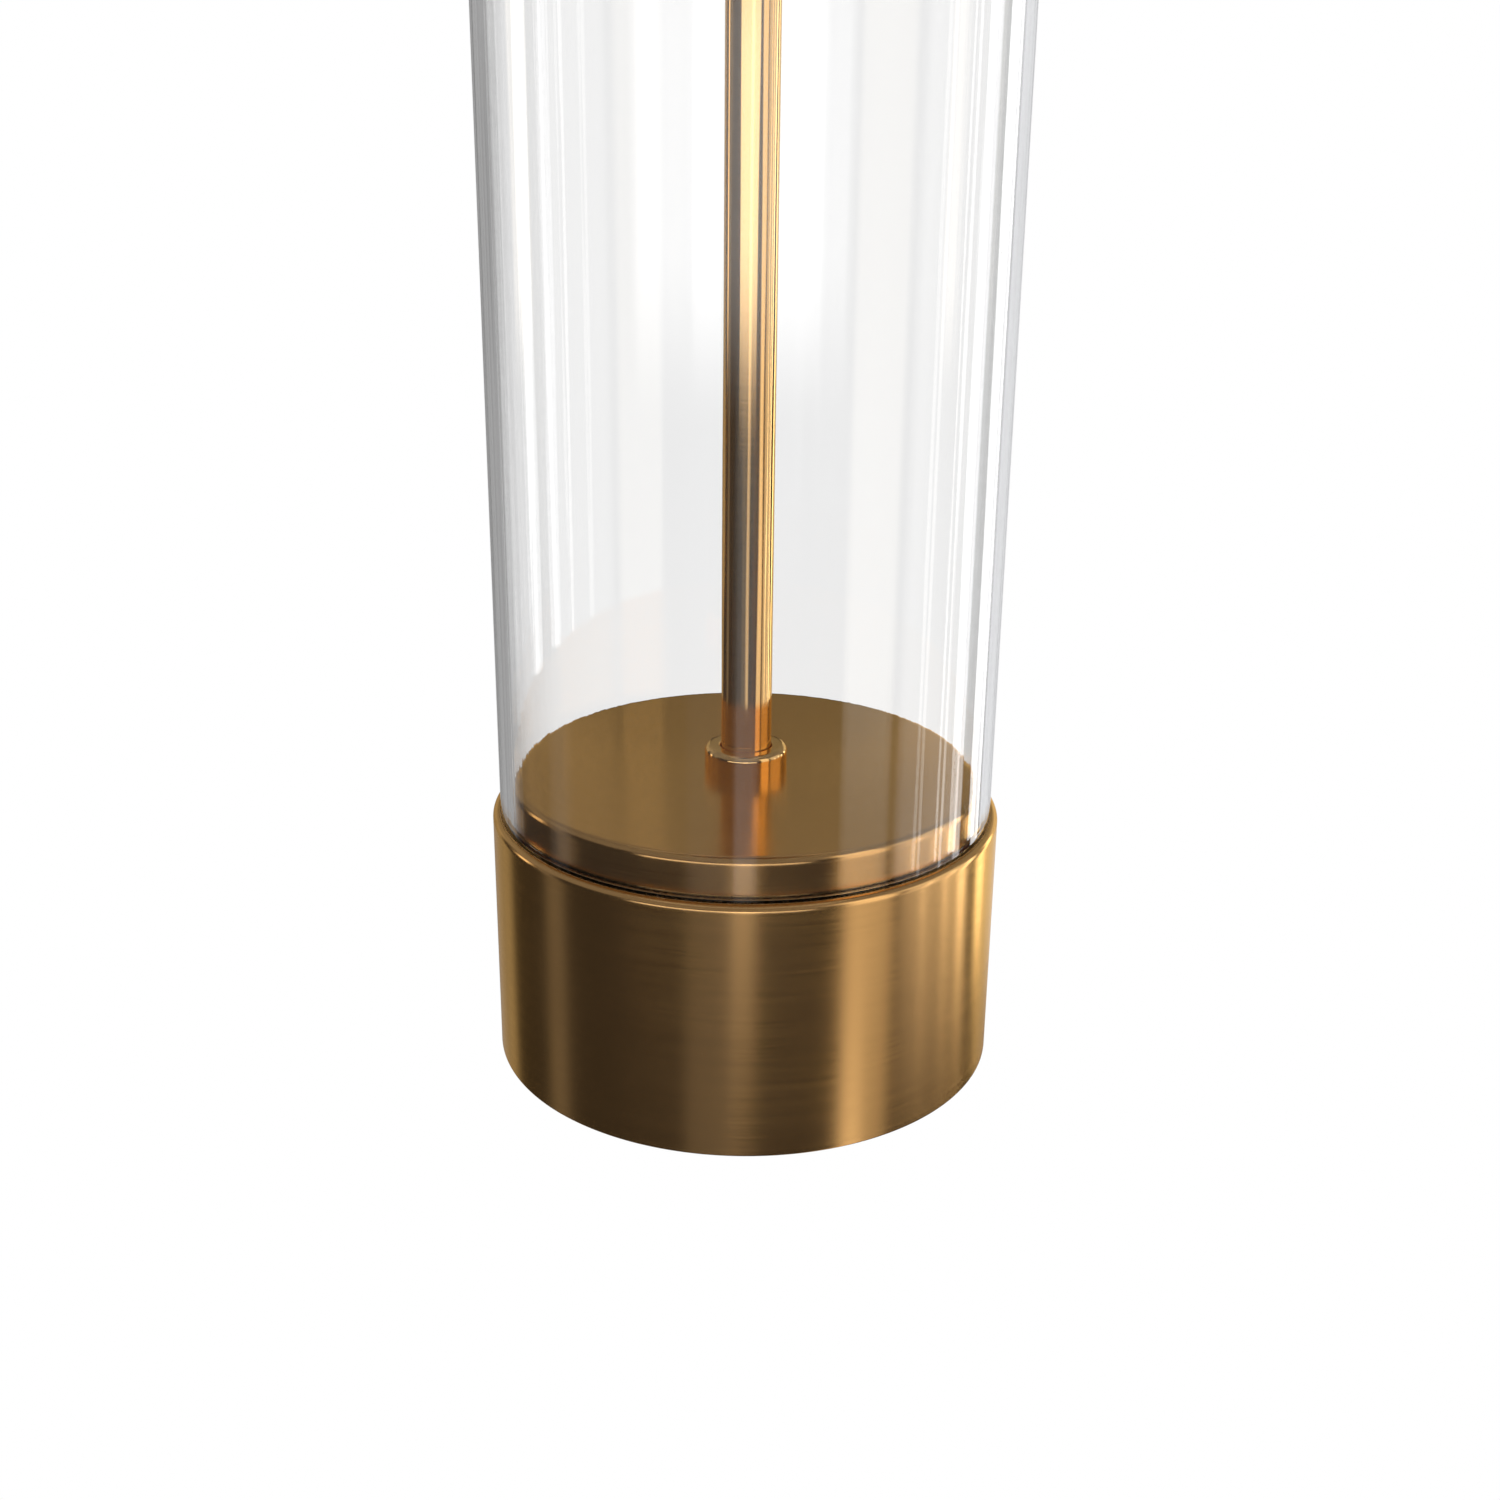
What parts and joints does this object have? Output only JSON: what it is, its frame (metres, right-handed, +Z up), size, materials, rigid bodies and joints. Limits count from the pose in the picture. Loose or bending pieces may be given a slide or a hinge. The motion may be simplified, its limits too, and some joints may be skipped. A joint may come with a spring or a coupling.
{
  "type": "table lamp",
  "caption": "Table lamp with a clear glass column between a brushed brass drum base and cap, slim brass stem on its axis and fabric drum shade.",
  "frame": {"origin": "centre of the lamp's footprint, on the surface it stands on", "axes": "+Z up along the stem, -Y front (switch side), +Y back (cord outlet), +X right"},
  "size_m": [0.33, 0.3298, 0.6618],
  "materials": {
    "brass_satin": "satin, finely brushed, clear lacquer",
    "brass_polished": "drawn and lightly polished",
    "clear_glass": "clear, fire-polished rims",
    "felt": "pressed felt",
    "cast_iron": "rough cast",
    "zinc_steel": "zinc plated",
    "silicone": "translucent soft ring",
    "black_plastic": "moulded",
    "white_plastic": "moulded",
    "phenolic": "moulded phenolic",
    "fibre_sleeve": "rolled fibre",
    "opal_glass": "frosted white",
    "nickel_cap": "nickel plated, rolled",
    "shade_fabric": "plain linen weave on a stiff lining"
  },
  "bodies": {
    "lamp": {"felt_pad": "felt", "base_weight": "cast_iron", "base_drum": "brass_satin", "base_plug": "brass_satin", "lower_gasket": "silicone", "cord_bushing": "black_plastic", "bottom_washer": "zinc_steel", "bottom_nut": "zinc_steel", "pipe_bushing": "white_plastic", "lamp_pipe": "zinc_steel", "stem_sleeve": "brass_polished", "lower_collar": "brass_polished", "glass_tube": "clear_glass", "upper_collar": "brass_polished", "top_plug": "brass_satin", "upper_gasket": "silicone", "top_cap": "brass_satin", "neck": "brass_polished", "check_ring": "brass_polished", "harp_saddle": "brass_polished", "harp": "brass_polished", "harp_stud": "brass_polished", "socket_cap": "brass_polished", "socket_shell": "brass_polished", "socket_insulator": "fibre_sleeve", "socket_core": "phenolic", "screw_shell": "brass_polished", "centre_contact": "brass_polished", "terminal_screws": "brass_polished", "switch_bushing": "brass_polished"},
    "switch": {"switch_shaft": "zinc_steel", "switch_knob": "black_plastic"},
    "bulb": {"bulb_glass": "opal_glass", "bulb_cap": "nickel_cap", "bulb_insulator": "phenolic", "bulb_contact": "nickel_cap"},
    "shade": {"shade_panel": "shade_fabric", "shade_spider": "brass_polished", "shade_bottom_ring": "brass_polished"},
    "finial": {"finial": "brass_polished"},
    "sleeve_left": {"harp_sleeve_left": "brass_polished"},
    "sleeve_right": {"harp_sleeve_right": "brass_polished"}
  },
  "joints": [
    {"name": "switch_turn", "type": "hinge", "parent": "lamp", "child": "switch", "pos_m": [0, 0, 0.4444], "axis": [0, -1, 0], "continuous": true},
    {"name": "bulb_turn", "type": "hinge", "parent": "lamp", "child": "bulb", "pos_m": [0, 0, 0.5], "axis": [0, 0, 1], "continuous": true},
    {"name": "shade_turn", "type": "hinge", "parent": "lamp", "child": "shade", "pos_m": [0, 0, 0.63], "axis": [0, 0, 1], "continuous": true},
    {"name": "finial_turn", "type": "hinge", "parent": "lamp", "child": "finial", "pos_m": [0, 0, 0.64], "axis": [0, 0, 1], "continuous": true},
    {"name": "sleeve_left_slide", "type": "slide", "parent": "lamp", "child": "sleeve_left", "axis": [0, 0, 1], "range_m": [0, 0.014]},
    {"name": "sleeve_right_slide", "type": "slide", "parent": "lamp", "child": "sleeve_right", "axis": [0, 0, 1], "range_m": [0, 0.014]}
  ]
}
